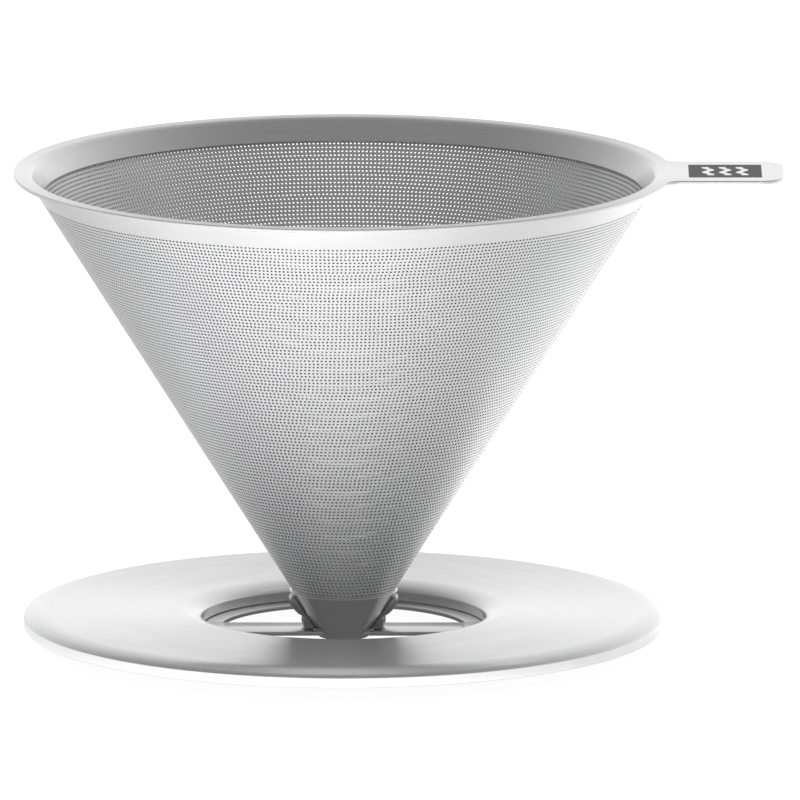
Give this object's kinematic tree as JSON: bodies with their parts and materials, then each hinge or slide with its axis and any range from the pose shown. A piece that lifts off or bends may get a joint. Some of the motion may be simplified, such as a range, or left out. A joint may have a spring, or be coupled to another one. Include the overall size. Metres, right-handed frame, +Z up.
{
  "type": "pour over coffee dripper",
  "caption": "Reusable cone dripper of perforated stainless steel with a tabbed rim, standing in a tapered cup on a round stand that sits on a mug.",
  "frame": {"origin": "centre of the bounding box's bottom face, on the standing plane; the cone's axis stands at x = -10 mm", "axes": "+Z up along the cone's axis towards the open rim, +X towards the tab's end, +Y towards the back"},
  "size_m": [0.14, 0.12, 0.087],
  "materials": {
    "rim_collar": "satin steel, brushed round the flange, etched dark square on the tab",
    "filter_cone": "fine perforated sheet, satin",
    "tip_screen": "satin",
    "support_cup": "brushed round the axis",
    "lug": "satin, darker at the welds",
    "bottom_plate": "satin",
    "base_shell": "brushed in fine circles, bright shoulder"
  },
  "bodies": {
    "root": {"rim_collar": "rim_collar", "filter_cone": "filter_cone", "tip_screen": "tip_screen", "support_cup": "support_cup", "lug_left": "lug", "lug_right": "lug", "bottom_plate": "bottom_plate", "base_shell": "base_shell"}
  },
  "joints": []
}
